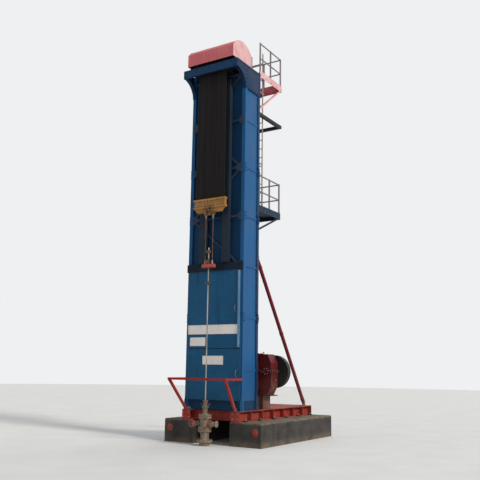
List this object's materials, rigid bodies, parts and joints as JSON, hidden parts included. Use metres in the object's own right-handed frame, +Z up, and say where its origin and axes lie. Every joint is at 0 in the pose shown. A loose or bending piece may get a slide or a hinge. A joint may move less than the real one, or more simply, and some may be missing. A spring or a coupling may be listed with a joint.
{
  "type": "long-stroke belt pumping unit",
  "caption": "Tall clad tower on a skid and concrete beams, with a wide belt over a hooded drum that lifts a well's polished rod; rear platforms, ladders, braces and drive.",
  "frame": {"origin": "on the ground, in the middle of the unit's plan", "axes": "+X to the right seen from the well, +Y to the rear where the drive is, +Z up"},
  "size_m": [3.4, 5.592, 12.85],
  "materials": {
    "concrete": "cast concrete, stained",
    "skid_red": "weathered red paint",
    "tower_blue": "satin blue paint",
    "panel_blue": "satin blue paint, lighter",
    "channel_teal": "satin blue-grey paint",
    "lintel_dark": "dark blue paint",
    "hood_red": "faded red paint",
    "brace_red": "dark red paint",
    "rail_paint": "weathered rail paint",
    "black_paint": "black paint",
    "drive_red": "dark red machine paint",
    "belt": "worn rubber belt",
    "clamp_yellow": "ochre yellow paint",
    "rope": "greased wire rope",
    "bright_steel": "polished rod",
    "carrier_red": "red paint",
    "well_paint": "dusty cast metal"
  },
  "bodies": {
    "root": {"foundation_right": "concrete", "foundation_left": "concrete", "skid_beam_right": "skid_red", "skid_beam_left": "skid_red", "skid_cross_beams": "skid_red", "drive_deck": "skid_red", "tower_posts": "tower_blue", "front_truss": "tower_blue", "front_sheet": "tower_blue", "side_sheet_right": "tower_blue", "side_sheet_left": "tower_blue", "rear_sheet": "tower_blue", "door_lintel": "lintel_dark", "access_panel": "panel_blue", "lower_panel": "panel_blue", "guide_channels": "channel_teal", "head_cheek_right": "tower_blue", "head_cheek_left": "tower_blue", "head_front_beam": "panel_blue", "head_frame": "black_paint", "bearing_blocks": "black_paint", "crown_drum": "black_paint", "hood": "hood_red", "hood_legs": "black_paint", "load_belt": "belt", "belt_clamp": "clamp_yellow", "bridle_ropes": "rope", "carrier_bar": "carrier_red", "rod_clamps": "bright_steel", "polished_rod": "bright_steel", "wellhead": "well_paint", "stuffing_box": "well_paint", "wellhead_valves": "well_paint", "counterweight": "black_paint", "guard_rail": "skid_red", "ladder": "rail_paint", "mid_platform": "lintel_dark", "mid_handrail": "rail_paint", "top_platform": "hood_red", "top_handrail": "rail_paint", "service_frame": "black_paint", "rear_braces": "brace_red", "gear_reducer": "drive_red", "belt_guard": "black_paint", "drive_motor": "black_paint"}
  },
  "joints": []
}
